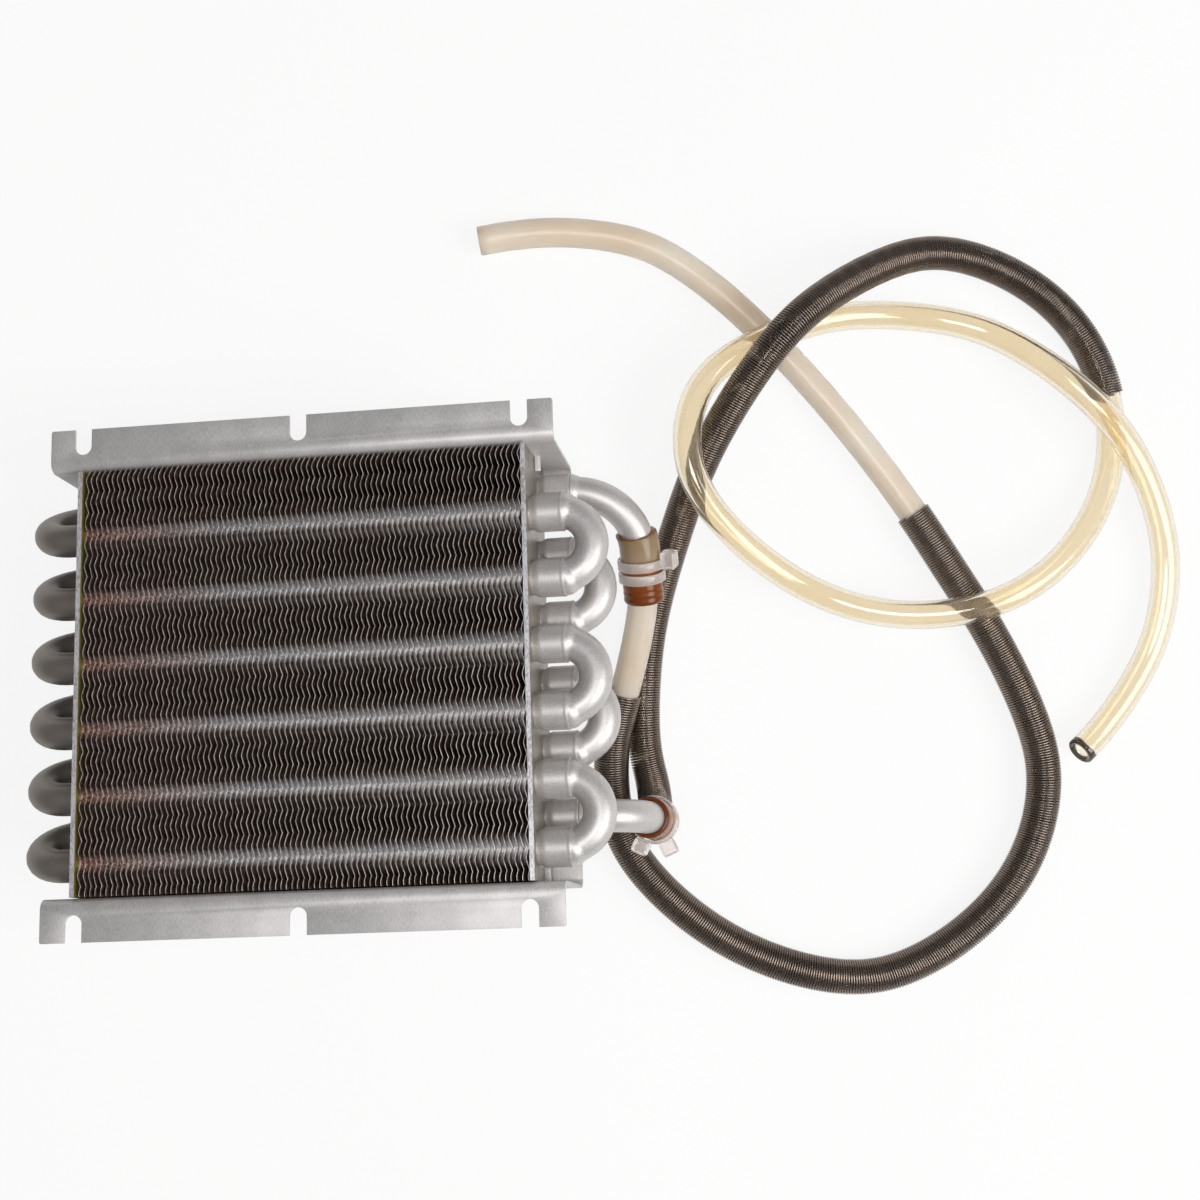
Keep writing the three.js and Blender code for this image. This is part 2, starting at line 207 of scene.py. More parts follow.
# Rings round a route. The profile lists (distance along the route, radius), and closes where the radius is 0.
# "slide" moves a ring's points along the route by their distance and direction.
def sweepProfile(name, route, profile, sides, place=None, slide=None):
    vertices, faces, uvs = [], [], []
    rings = []
    for s, radius in profile:
        point, tangent, side, up = route.frameAt(s)
        if radius <= 0:
            rings.append([len(vertices)])
            vertices.append(point)
            uvs.append((0.5, s))
            continue
        start = len(vertices)
        for k in range(sides):
            a = 2 * math.pi * k / sides
            spoke = side * math.cos(a) + up * math.sin(a)
            slid = tangent * slide(s, spoke) if slide else Vector()
            vertices.append(point + spoke * radius + slid)
            uvs.append((k / sides, s))
        rings.append(list(range(start, start + sides)))
    pairs = list(zip(rings, rings[1:]))
    if len(rings[0]) > 1:
        pairs.append((rings[-1], rings[0]))
    for a, b in pairs:
        for k in range(sides):
            n = (k + 1) % sides
            if len(a) == 1:
                faces.append((a[0], b[n], b[k]))
            elif len(b) == 1:
                faces.append((a[k], a[n], b[0]))
            else:
                faces.append((a[k], a[n], b[n], b[k]))
    return pieceFrom(name, vertices, faces, place, uvs)


def smoothSteps(stations, step):
    # Fills a coarse list of (distance, radius) with more rings where the distance runs on.
    filled = [stations[0]]
    for (s0, r0), (s1, r1) in zip(stations, stations[1:]):
        count = max(1, math.ceil(abs(s1 - s0) / step))
        filled += [(s0 + (s1 - s0) * i / count, r0 + (r1 - r0) * i / count) for i in range(1, count + 1)]
    return filled


def catmullRom(points, samples):
    # A smooth line through unevenly spaced points, by three rounds of blending between neighbours.
    points = [Vector(p) for p in points]
    ends = [points[0] * 2 - points[1], *points, points[-1] * 2 - points[-2]]
    line = []
    for i in range(1, len(ends) - 2):
        p = ends[i - 1 : i + 3]
        t = [0.0]
        for a, b in zip(p, p[1:]):
            t.append(t[-1] + max((b - a).length, 1e-9) ** 0.5)
        rounds = ([(t[0], t[1]), (t[1], t[2]), (t[2], t[3])], [(t[0], t[2]), (t[1], t[3])], [(t[1], t[2])])
        for k in range(samples):
            u = t[1] + (t[2] - t[1]) * k / samples
            level = p
            for spans in rounds:
                shares = [(u - low) / (high - low) for low, high in spans]
                level = [a * (1 - w) + b * w for a, b, w in zip(level, level[1:], shares)]
            line.append(level[0])
    line.append(points[-1])
    return line


# Materials.
def newMaterial(name):
    material = bpy.data.materials.new(name)
    material.use_nodes = True
    material.node_tree.nodes.clear()
    return material, material.node_tree


# Noise whose grains are so many millimetres along the exchanger's own three directions.
def grainNoise(tree, grain, detail=3.0):
    place = addNode(tree, "ShaderNodeTexCoord").outputs["Object"]
    turned = addNode(tree, "ShaderNodeMapping", {"vector_type": "TEXTURE"}, {
        "Vector": place, "Rotation": tilt.to_euler("XYZ")[:], "Scale": [g * mm for g in grain]})
    noise = addNode(tree, "ShaderNodeTexNoise", None, {
        "Vector": turned.outputs[0], "Scale": 1.0, "Detail": detail})
    return noise.outputs[0]


def facing(tree, direction):
    # 1 on surfaces that look along one of the exchanger's directions: it places the painted highlights on the
    # sheets' and fins' front edges and the painted light on the left plate's inner face.
    normal = addNode(tree, "ShaderNodeTexCoord").outputs["Normal"]
    along = addNode(tree, "ShaderNodeVectorMath", {"operation": "DOT_PRODUCT"}, {
        0: normal, 1: tilt @ Vector(direction)})
    squareOn = addNode(tree, "ShaderNodeMapRange", None, {
        "Value": along.outputs["Value"], "From Min": 0.75, "From Max": 0.95})
    return squareOn.outputs[0]


def alongExchanger(tree, direction):
    # Millimetres along one of the exchanger's own directions, from its centre.
    place, way = addNode(tree, "ShaderNodeTexCoord").outputs["Object"], tilt @ Vector(direction)
    reach = addNode(tree, "ShaderNodeVectorMath", {"operation": "DOT_PRODUCT"}, {0: place, 1: way / mm})
    fromCentre = addNode(tree, "ShaderNodeMath", {"operation": "SUBTRACT"}, {
        0: reach.outputs["Value"], 1: faceCentre.dot(way) / mm})
    return fromCentre.outputs[0]


# The Mix node's two colours are its inputs 6 and 7, and the mixed one is its output 2.
def sheetMetal(name, look):
    material, tree = newMaterial(name)
    fine, broad = grainNoise(tree, look["grain"]), grainNoise(tree, look["patches"], 2.0)
    mixed = addNode(tree, "ShaderNodeMix", {"data_type": "FLOAT"}, {0: 0.35, 2: fine, 3: broad}).outputs[0]
    stops = ((0.36, look["dark"]), (0.64, look["light"]))
    tone = addNode(tree, "ShaderNodeValToRGB", None, {0: mixed}, stops).outputs[0]
    # Faces that look out of the front take a lighter tone: a painted highlight.
    if "edge" in look:
        stops = ((0.38, look["edge"][0]), (0.55, look["edge"][1]))
        edge = addNode(tree, "ShaderNodeValToRGB", None, {0: mixed}, stops).outputs[0]
        tone = addNode(tree, "ShaderNodeMix", {"data_type": "RGBA"}, {
            0: facing(tree, (0, 0, 1)), 6: tone, 7: edge}).outputs[2]
    # Faces that look along +X take one flat colour: painted light.
    if "inner" in look:
        tone = addNode(tree, "ShaderNodeMix", {"data_type": "RGBA"}, {
            0: facing(tree, (1, 0, 0)), 6: tone, 7: linearColour(look["inner"])}).outputs[2]
    # Painted shade: beyond a line across the exchanger the tone darkens to a given colour.
    if "paintedShade" in look:
        hexCode, outside, inside = look["paintedShade"]
        share = addNode(tree, "ShaderNodeMapRange", None, {
            "Value": alongExchanger(tree, (1, 0, 0)), "From Min": inside, "From Max": outside}).outputs[0]
        tone = addNode(tree, "ShaderNodeMix", {"data_type": "RGBA"}, {
            0: share, 6: tone, 7: linearColour(hexCode)}).outputs[2]
    smooth, rough = look["roughness"]
    polish = addNode(tree, "ShaderNodeMapRange", None, {
        "Value": fine, "From Min": 0.3, "From Max": 0.7, "To Min": smooth, "To Max": rough}).outputs[0]
    relief = addNode(tree, "ShaderNodeBump", None, {
        "Height": fine, "Strength": 0.4, "Distance": look["relief"] * mm}).outputs[0]
    shader = addNode(tree, "ShaderNodeBsdfPrincipled", None, {
        "Base Color": tone, "Metallic": look["metallic"], "Roughness": polish, "Normal": relief})
    addNode(tree, "ShaderNodeOutputMaterial", None, {"Surface": shader.outputs[0]})
    return material


# Zinc-plated mild steel: cold-rolled sheet, with short upright flecks where the plating catches the light.
zincPlatedSteel = sheetMetal("zincPlatedSteel", {
    "dark": "C2BFBE", "light": "DEDBDA", "grain": (0.35, 1.6, 0.35), "patches": (9, 14, 9),
    "roughness": (0.46, 0.56), "metallic": 0.45, "relief": 0.004})
# Galvanised sheet: the end plates, sheared, with a painted highlight on their front edges and faces painted a
# darker brown grey that stands in for the reflected sockets.
galvanised = {
    "dark": "8C857C", "light": "B4ADA4", "edge": ("C4BEBA", "F6F4F8"), "grain": (0.6, 1.6, 0.6),
    "patches": (6, 9, 6), "roughness": (0.32, 0.44), "metallic": 0.7, "relief": 0.006}
galvanisedSheet = sheetMetal("galvanisedSheet", galvanised)
# The same sheet with painted light on its inner face: the face that looks along +X is a flat light olive,
# standing in for the light that the first fin keeps off it.
innerLitSheet = sheetMetal("oliveLitInnerSheet", {**galvanised, "inner": "CABE6E"})
# Bead-blasted aluminium tube: an even satin with broad soft highlights.
satin = {
    "dark": "C6C2C0", "light": "DAD6D4", "grain": (0.7, 0.7, 0.7), "patches": (12, 12, 12),
    "roughness": (0.42, 0.5), "metallic": 0.6, "relief": 0.004}
satinAluminium = sheetMetal("satinAluminium", satin)
# The same tube with painted shade: it darkens to a dull grey where it stands out beyond the left plate, on
# the side away from the lamps.
leftShadedAluminium = sheetMetal("leftShadedAluminium", {**satin, "paintedShade": ("88817B", -91.0, -86.0)})

# Fin strip tones: sides a brown darkened as painted shade between the fins, edges a painted highlight, and
# copper and silver painted glints round the tubes.
finLook = {
    "sides": ((0.36, "644E44"), (0.64, "987C6E")), "edges": ((0.38, "C0B6B0"), (0.6, "FFFAF6")),
    "copperGlint": ((0.4, "844A3A"), (0.58, "FFD6C6")), "silverGlint": ((0.38, "A8A0A8"), (0.52, "FFFFFF")),
    "glintBand": (3.6, 1.7), "copperGlintEnds": (-85.0, -25.0), "metallic": 0.6, "roughness": 0.36}


def finStripMetal():
    # Thin rolled aluminium strip, with painted light: brown sides darkened as painted shade for the gaps
    # between the fins, front edges lightened as a painted highlight, and painted glints in a band round the
    # tubes, tinged with copper at the left.
    material, tree = newMaterial("rolledAluminiumStripPaintedLight")
    stripNoise, glint = grainNoise(tree, (2.0, 2.5, 2.5)), grainNoise(tree, (1.0, 1.0, 1.0), 1.0)
    sides, edges, copperGlint, silverGlint = (
        addNode(tree, "ShaderNodeValToRGB", None, {0: noise}, finLook[part]).outputs[0]
        for part, noise in (("sides", stripNoise), ("edges", stripNoise), ("copperGlint", glint), ("silverGlint", glint)))
    # The front edges take a painted highlight.
    strip = addNode(tree, "ShaderNodeMix", {"data_type": "RGBA"}, {
        0: facing(tree, (0, 0, 1)), 6: sides, 7: edges}).outputs[2]
    # The distance from the nearest row of tubes: it repeats at their pitch, up to half of it above the first.
    height = addNode(tree, "ShaderNodeMath", {"operation": "SUBTRACT"}, {
        0: alongExchanger(tree, (0, 1, 0)), 1: frontY(0)}).outputs[0]
    halfPitch = exchanger["tubePitch"] / 2
    capped = addNode(tree, "ShaderNodeMath", {"operation": "MINIMUM"}, {0: height, 1: halfPitch}).outputs[0]
    fromRow = addNode(tree, "ShaderNodeMath", {"operation": "PINGPONG"}, {0: capped, 1: halfPitch}).outputs[0]
    # The painted glints fade from copper at the left to a brighter silver at the right.
    left, right = finLook["copperGlintEnds"]
    across = addNode(tree, "ShaderNodeMapRange", None, {
        "Value": alongExchanger(tree, (1, 0, 0)), "From Min": left, "From Max": right}).outputs[0]
    glintBand = addNode(tree, "ShaderNodeMix", {"data_type": "RGBA"}, {
        0: across, 6: copperGlint, 7: silverGlint}).outputs[2]
    # The painted glints lie in a band round each row of tubes.
    outer, inner = finLook["glintBand"]
    onGlintBand = addNode(tree, "ShaderNodeMapRange", None, {
        "Value": fromRow, "From Min": outer, "From Max": inner}).outputs[0]
    tone = addNode(tree, "ShaderNodeMix", {"data_type": "RGBA"}, {
        0: onGlintBand, 6: strip, 7: glintBand}).outputs[2]
    shader = addNode(tree, "ShaderNodeBsdfPrincipled", None, {
        "Base Color": tone, "Metallic": finLook["metallic"], "Roughness": finLook["roughness"]})
    addNode(tree, "ShaderNodeOutputMaterial", None, {"Surface": shader.outputs[0]})
    return material


def mottledMaterial(name, grain, tones, shaderInputs):
    # One shader whose colour drifts between two close tones.
    material, tree = newMaterial(name)
    stops = tuple(zip((0.3, 0.7), tones))
    tone = addNode(tree, "ShaderNodeValToRGB", None, {0: grainNoise(tree, grain)}, stops).outputs[0]
    shader = addNode(tree, "ShaderNodeBsdfPrincipled", None, {**shaderInputs, "Base Color": tone})
    addNode(tree, "ShaderNodeOutputMaterial", None, {"Surface": shader.outputs[0]})
    return material


def sleeveSilicone(name, stops, reach, wander):
    # Soft silicone sleeve whose colour changes along it, at a wandering line; stops are shares of its length.
    material, tree = newMaterial(name)
    along = addNode(tree, "ShaderNodeUVMap", {"uv_map": "along"})
    split = addNode(tree, "ShaderNodeSeparateXYZ", None, {0: along.outputs[0]})
    shift = addNode(tree, "ShaderNodeMath", {"operation": "MULTIPLY_ADD"}, {
        0: grainNoise(tree, (5, 5, 5)), 1: wander, 2: split.outputs[1]})
    share = addNode(tree, "ShaderNodeMapRange", None, {
        "Value": shift.outputs[0], "From Min": wander / 2, "From Max": reach + wander / 2})
    tone = addNode(tree, "ShaderNodeValToRGB", None, {0: share.outputs[0]}, stops)
    shader = addNode(tree, "ShaderNodeBsdfPrincipled", None, {
        "Base Color": tone.outputs[0], "Roughness": 0.22, "IOR": 1.41, "Subsurface Weight": 0.2,
        "Subsurface Scale": 0.0015})
    addNode(tree, "ShaderNodeOutputMaterial", None, {"Surface": shader.outputs[0]})
    return material


finStrip = finStripMetal()
# Oil-tempered spring wire, close wound: brown-grey, with a sharp line of light on each turn.
springWire = mottledMaterial("springWireSteel", (40, 40, 40), ("72665E", "8A7D73"), {
    "Metallic": 0.9, "Roughness": 0.27})
# Extruded translucent silicone: milky, and light passes through the wall.
siliconeSkin = mottledMaterial("translucentSilicone", (25, 25, 25), ("FBEDDA", "FFF8EC"), {
    "Roughness": 0.3, "IOR": 1.41, "Transmission Weight": 0.55})
# Clear plasticised PVC tube, a little yellowed with age.
vinylSkin = mottledMaterial("yellowedClearVinyl", (60, 60, 60), ("F8ECD3", "FBF3E2"), {
    "Roughness": 0.06, "IOR": 1.53, "Transmission Weight": 0.97})
# Natural nylon 6/6 cable tie: translucent, warm white, with a soft moulded sheen.
tieNylon = mottledMaterial("naturalNylon", (3, 3, 3), ("F2E8E4", "FFF9F4"), {
    "Roughness": 0.24, "IOR": 1.53, "Transmission Weight": 0.7})
# The upper sleeve is tan above its ties and amber below; the lower one is dark at its mouth.
upperSleeveSkin = sleeveSilicone("upperSleeveSilicone", (
    (0.0, "8A5A30"), (0.05, "8E7A5A"), (0.36, "A08A70"), (0.47, "9A5A28"), (0.62, "84440F"), (1.0, "6E340C")),
    28.8, 2.5)
lowerSleeveSkin = sleeveSilicone("lowerSleeveSilicone", (
    (0.0, "64300E"), (0.16, "8A4A1A"), (0.3, "A87C50"), (1.0, "B89878")), 20.3, 1.0)
print("materials made")


# Ports, in millimetres and degrees. An elbow that leans 0 points down the face, and 90 straight back.
ports = {
    "mouthX": plateFace + 12.9,
    "insert": 7.0,
    "bendRadius": 25.0,
    "upper": {"y": rearY(0), "lean": 28.0, "stub": 7.5, "sleeve": 21.0},
    "lower": {"y": rearY(exchanger["rows"] - 1), "lean": 90.0, "stub": 5.0, "sleeve": 12.5},
    "gap": 0.3,
    "guide": 2.0,
}


def portHeading(side):
    lean = math.radians(ports[side]["lean"])
    return Vector((0, -math.cos(lean), -math.sin(lean)))


def bendEnd(side):
    start = Vector((ports["mouthX"], ports[side]["y"], exchanger["rearRow"]))
    return start + Vector((ports["bendRadius"], 0, 0)) + portHeading(side) * ports["bendRadius"]


def hoseLine(side, laid):
    reaches = (ports[side]["stub"] + ports["gap"], ports[side]["sleeve"] + ports["guide"])
    own = [placeExchanger @ (bendEnd(side) + portHeading(side) * reach) for reach in reaches]
    return own + [Vector(p) for p in laid]


# Hoses, in metres. A route's first two points come from its port, and "laid" lists the rest. "guarded" counts
# the points at the spring guard's two ends.
siliconeHose = {
    "radius": 0.006,
    "bore": 0.004,
    "guardRadius": 0.00725,
    "guarded": (2, 16),
    "laid": [
        (0.1060, -0.0147, 0.0200), (0.1009, -0.0337, 0.0148), (0.1033, -0.0671, 0.0076),
        (0.1164, -0.0885, 0.0075), (0.1503, -0.1167, 0.0075), (0.1969, -0.1307, 0.0075),
        (0.2221, -0.1259, 0.0075), (0.2439, -0.1134, 0.0075), (0.2621, -0.0965, 0.0075),
        (0.2743, -0.0758, 0.0075), (0.2797, -0.0519, 0.0075), (0.2768, -0.0277, 0.0075),
        (0.2552, 0.0159, 0.0075), (0.2406, 0.0377, 0.0075), (0.2270, 0.0595, 0.0075),
        (0.2017, 0.0937, 0.0063), (0.1797, 0.1191, 0.0063), (0.1518, 0.1479, 0.0063),
        (0.1250, 0.1674, 0.0063), (0.1079, 0.1744, 0.0063), (0.0744, 0.1778, 0.0063),
        (0.0469, 0.1734, 0.0063)],
}
clearHose = {
    "radius": 0.00575,
    "bore": 0.004,
    "guardRadius": 0.007,
    "guarded": (1, 15),
    "laid": [
        (0.1196, -0.0611, 0.0198), (0.1191, -0.0555, 0.0122), (0.1179, -0.0462, 0.0079),
        (0.1142, -0.0338, 0.0074), (0.1156, 0.0052, 0.0073), (0.1203, 0.0291, 0.0074),
        (0.1312, 0.0644, 0.0120), (0.1407, 0.0892, 0.0195), (0.1651, 0.1276, 0.0336),
        (0.1838, 0.1458, 0.0298), (0.2177, 0.1656, 0.0135), (0.2430, 0.1694, 0.0078),
        (0.2867, 0.1484, 0.0073), (0.3072, 0.1090, 0.0073), (0.3055, 0.0713, 0.0062),
        (0.2907, 0.0480, 0.0125), (0.2747, 0.0335, 0.0185), (0.2492, 0.0213, 0.0222),
        (0.2116, 0.0193, 0.0160), (0.1833, 0.0291, 0.0145), (0.1618, 0.0422, 0.0205),
        (0.1362, 0.0667, 0.0298), (0.1304, 0.0896, 0.0305), (0.1357, 0.1106, 0.0245),
        (0.1485, 0.1244, 0.0204), (0.1811, 0.1386, 0.0162), (0.2022, 0.1428, 0.0105),
        (0.2386, 0.1413, 0.0070), (0.2640, 0.1325, 0.0115), (0.2967, 0.1062, 0.0212),
        (0.3152, 0.0835, 0.0170), (0.3300, 0.0490, 0.0070), (0.3280, 0.0190, 0.0061),
        (0.3204, -0.0024, 0.0061), (0.3027, -0.0277, 0.0075), (0.2926, -0.0363, 0.0123)],
}
samplesPerPoint = 14
evening = {"reach": 7, "passes": 2}
hoseCut = {"rim": 0.0004, "outerStep": 0.004, "innerStep": 0.006, "sides": 28}


def evenLine(line):
    # A hose is stiff, so it takes no sharp turn; its two ends stay where they are.
    for _ in range(evening["passes"]):
        averaged = []
        for i in range(len(line)):
            reach = min(i, len(line) - 1 - i, evening["reach"])
            near = line[i - reach : i + reach + 1]
            averaged.append(sum(near, Vector()) / len(near))
        line = averaged
    return line


def makeHose(name, facts, side, material):
    line = evenLine(catmullRom(hoseLine(side, facts["laid"]), samplesPerPoint))
    route = Route(line)
    end, radius, bore, rim = route.length, facts["radius"], facts["bore"], hoseCut["rim"]
    outer = smoothSteps([(0.0, bore), (0.0, radius - rim), (rim, radius), (end - rim, radius),
                         (end, radius - rim), (end, bore)], hoseCut["outerStep"])
    first = hoseCut["outerStep"]
    inner = smoothSteps([(first, bore), (end - first, bore)], hoseCut["innerStep"])
    piece = sweepProfile(name, route, outer + inner[::-1], hoseCut["sides"])
    finishPiece(piece, [name.replace("Hose", "_hose")], material)
    facts["route"], facts["line"], facts["piece"] = route, line, piece
    guardStart, guardEnd = (point * samplesPerPoint for point in facts["guarded"])
    facts["guardLine"] = line[guardStart : guardEnd + 1]
    print(f"{name}: {route.length:.3f} m")


makeHose("siliconeHose", siliconeHose, "upper", siliconeSkin)
makeHose("clearHose", clearHose, "lower", vinylSkin)


# Spring guards: wire wound close round each hose.
def newTree(name, inputs):
    tree = bpy.data.node_groups.new(name, "GeometryNodeTree")
    tree.interface.new_socket("Geometry", in_out="INPUT", socket_type="NodeSocketGeometry")
    for label, kind, value in inputs:
        socket = tree.interface.new_socket(label, in_out="INPUT", socket_type=kind)
        if value is not None:
            socket.default_value = value
    tree.interface.new_socket("Geometry", in_out="OUTPUT", socket_type="NodeSocketGeometry")
    return tree, addNode(tree, "NodeGroupInput").outputs, addNode(tree, "NodeGroupOutput").inputs[0]


def coilTree():
    # A line of points is wound round the hose's own line and given a round section.
    tree, given, result = newTree("woundSpring", [
        ("Coil Radius", "NodeSocketFloat", 0.007), ("Wire Radius", "NodeSocketFloat", 0.0005),
        ("Pitch", "NodeSocketFloat", 0.00104), ("Steps per Turn", "NodeSocketInt", 20),
        ("Wire Sides", "NodeSocketInt", 5), ("Wire", "NodeSocketMaterial", None)])
    path = addNode(tree, "GeometryNodeMeshToCurve", None, {0: given["Geometry"]}).outputs[0]
    length = addNode(tree, "GeometryNodeCurveLength", None, {0: path}).outputs[0]
    turns = addNode(tree, "ShaderNodeMath", {"operation": "DIVIDE"}, {0: length, 1: given["Pitch"]})
    count = addNode(tree, "ShaderNodeMath", {"operation": "MULTIPLY"}, {
        0: turns.outputs[0], 1: given["Steps per Turn"]}).outputs[0]
    line = addNode(tree, "GeometryNodeMeshLine", None, {"Count": count, "Offset": (0, 0, 0)})
    index = addNode(tree, "GeometryNodeInputIndex").outputs[0]
    last = addNode(tree, "ShaderNodeMath", {"operation": "SUBTRACT"}, {0: count, 1: 1.0})
    share = addNode(tree, "ShaderNodeMath", {"operation": "DIVIDE"}, {0: index, 1: last.outputs[0]})
    sample = addNode(tree, "GeometryNodeSampleCurve", {"mode": "FACTOR"}, {
        "Curves": path, "Factor": share.outputs[0]}).outputs
    fullTurns = addNode(tree, "ShaderNodeMath", {"operation": "MULTIPLY"}, {0: index, 1: 2 * math.pi})
    angle = addNode(tree, "ShaderNodeMath", {"operation": "DIVIDE"}, {
        0: fullTurns.outputs[0], 1: given["Steps per Turn"]})
    spoke = addNode(tree, "ShaderNodeVectorRotate", {"rotation_type": "AXIS_ANGLE"}, {
        "Vector": sample["Normal"], "Axis": sample["Tangent"], "Angle": angle.outputs[0]})
    reach = addNode(tree, "ShaderNodeVectorMath", {"operation": "SCALE"}, {
        0: spoke.outputs[0], "Scale": given["Coil Radius"]})
    spot = addNode(tree, "ShaderNodeVectorMath", {"operation": "ADD"}, {
        0: sample["Position"], 1: reach.outputs[0]})
    wound = addNode(tree, "GeometryNodeSetPosition", None, {0: line.outputs[0], "Position": spot.outputs[0]})
    wire = addNode(tree, "GeometryNodeMeshToCurve", None, {0: wound.outputs[0]})
    section = addNode(tree, "GeometryNodeCurvePrimitiveCircle", None, {
        "Resolution": given["Wire Sides"], "Radius": given["Wire Radius"]})
    solid = addNode(tree, "GeometryNodeCurveToMesh", None, {
        "Curve": wire.outputs[0], "Profile Curve": section.outputs[0], "Fill Caps": True})
    smooth = addNode(tree, "GeometryNodeSetShadeSmooth", None, {0: solid.outputs[0]})
    real = addNode(tree, "GeometryNodeRealizeInstances", None, {0: smooth.outputs[0]})
    dressed = addNode(tree, "GeometryNodeSetMaterial", None, {0: real.outputs[0], "Material": given["Wire"]})
    tree.links.new(dressed.outputs[0], result)
    return tree


def runTree(name, tree, source, inputs):
    # Puts the tree on a source mesh, sets its inputs, and keeps the result as a plain mesh.
    carrier = bpy.data.objects.new(name + "Source", source)
    scene.collection.objects.link(carrier)
    modifier = carrier.modifiers.new("made", "NODES")
    modifier.node_group = tree
    for item in tree.interface.items_tree:
        if item.in_out == "INPUT" and item.name in inputs:
            modifier[item.identifier] = inputs[item.name]
    evaluated = carrier.evaluated_get(bpy.context.evaluated_depsgraph_get())
    mesh = bpy.data.meshes.new_from_object(evaluated)
    mesh.name = name
    carrier.modifiers.remove(modifier)
    bpy.data.objects.remove(carrier)
    piece = bpy.data.objects.new(name, mesh)
    scene.collection.objects.link(piece)
    return piece


def edgeChain(name, points):
    mesh = bpy.data.meshes.new(name)
    mesh.from_pydata([tuple(p) for p in points], [(i, i + 1) for i in range(len(points) - 1)], [])
    return mesh


springTree = coilTree()
wireRadius = 0.0005
for name, facts, node in (("siliconeHoseGuard", siliconeHose, "silicone_hose_guard"),
                          ("clearHoseGuard", clearHose, "clear_hose_guard")):
    guard = runTree(name, springTree, edgeChain(name, facts["guardLine"]), {
        "Coil Radius": facts["guardRadius"] - wireRadius, "Wire Radius": wireRadius, "Wire": springWire})
    finishPiece(guard, [node])
    print(f"{name}: {len(guard.data.polygons)} faces")
print("hoses laid")


# Tubes.
tubes = {"socketRadius": 7.5, "boreRadius": 6.85, "lip": 0.1, "flare": 3.4, "standOut": 6.4, "bendInset": 2.4,
         "filletRadius": 7.45, "filletLength": 3.2, "brazeInside": 1.4, "sides": 40}


def easedSteps(start, end, low, high, steps):
    # From the high radius at the start to the low one at the end, in a soft S.
    stations = []
    for k in range(steps + 1):
        fall = 0.5 + 0.5 * math.cos(math.pi * k / steps)
        stations.append((start + (end - start) * k / steps, low + (high - low) * fall))
    return stations


def hairpin(i):
    front = Vector((0, frontY(i), exchanger["frontRow"]))
    across = Vector((0, rearY(i), exchanger["rearRow"])) - front
    mouth = ports["mouthX"]
    leg = mouth + plateFace + tubes["standOut"]
    run = Run((mouth, front.y, front.z), (-1, 0, 0)).line(leg, 4)
    route = run.bend(across.length / 2, across, 180).line(leg, 4).route()
    socket, bore, flare = tubes["socketRadius"], tubes["boreRadius"], tubes["flare"]
    depth, toPlate, rim = ports["insert"] + ports["gap"], mouth - plateFace, socket + tubes["lip"]
    # From the socket's floor out of its bore, over the rolled rim and back along the outside to the plate.
    mouthEnd = [(depth, 0), (depth, bore), (0.1, bore), (0.0, bore + 0.15), (0.0, rim - 0.15),
                (0.05, rim - 0.05), (0.15, rim), (0.4, rim), (0.8, rim), (1.1, rim - 0.04), (1.4, socket),
                (1.6, socket), (toPlate - flare - 0.4, socket)]
    mouthEnd += easedSteps(toPlate - flare, toPlate, exchanger["tubeRadius"], socket, 6)
    otherEnd = [(route.length - s, radius) for s, radius in reversed(mouthEnd)]
    profile = smoothSteps(mouthEnd + otherEnd, 2.5)
    # The hairpins carry painted shade where they stand out on the left.
    piece = sweepProfile(f"hairpinTube{i + 1}", route, profile, tubes["sides"], placeExchanger)
    finishPiece(piece, [f"hairpin_tube_{i + 1}"], leftShadedAluminium)


for i in range(exchanger["rows"]):
    hairpin(i)


def bareTube(name, node, route, fillets):
    # A bent tube with a braze fillet at each socket: fillets lists (start, length in the socket, direction).
    r, braze, length = exchanger["tubeRadius"], tubes["filletRadius"], tubes["filletLength"]
    stations = [(0, 0), (0, r - 0.2), (0.2, r)]
    for start, hidden, way in fillets:
        ring = [(start, r), (start, braze - 0.12), (start + way * 0.04, braze - 0.04)]
        ring.append((start + way * 0.12, braze))
        ring += easedSteps(start + way * hidden, start + way * (hidden + length), r, braze, 10)[1:]
        stations += ring if way > 0 else ring[::-1]
    stations += [(route.length - 0.2, r), (route.length, r - 0.2), (route.length, 0)]
    piece = sweepProfile(name, route, smoothSteps(stations, 2.0), tubes["sides"], placeExchanger)
    finishPiece(piece, [node], satinAluminium)


def returnBend(row, number, y, z):
    straight = ports["insert"] - tubes["bendInset"]
    run = Run((ports["mouthX"] - ports["insert"], y, z), (1, 0, 0)).line(straight)
    route = run.bend(exchanger["tubePitch"] / 2, (0, -1, 0), 180).line(straight).route()
    # The bend already turns inside the socket, so its braze starts inside too.
    hidden = tubes["brazeInside"]
    start = ports["insert"] - hidden
    bareTube(f"{row}ReturnBend{number}", f"{row}_return_bend_{number}", route,
             [(start, hidden, 1), (route.length - start, hidden, -1)])


for i in range(0, exchanger["rows"], 2):
    returnBend("front", i // 2 + 1, frontY(i), exchanger["frontRow"])
for i in range(1, exchanger["rows"] - 1, 2):
    returnBend("rear", (i + 1) // 2, rearY(i), exchanger["rearRow"])
for side in ("upper", "lower"):
    facts = ports[side]
    run = Run((ports["mouthX"] - ports["insert"], facts["y"], exchanger["rearRow"]), (1, 0, 0))
    run.line(ports["insert"]).bend(ports["bendRadius"], portHeading(side), 90).line(facts["stub"])
    bareTube(f"{side}PortElbow", f"{side}_port_elbow", run.route(), [(ports["insert"] + 0.02, 0.15, 1)])
print("tubes bent")


# Fin pack.
fins = {"count": 82, "thickness": 0.22, "wave": exchanger["tubePitch"] / 3, "swing": 1.25, "sharpness": 1.2,
        "wobble": 0.7, "bends": (0.45, 0.045, 0.02), "endTurn": 0.7, "endLength": 3.0, "endGap": 0.4,
        "frontGap": 0.5, "leftGap": 1.8, "rightGap": 0.7, "stepsPerWave": 8}


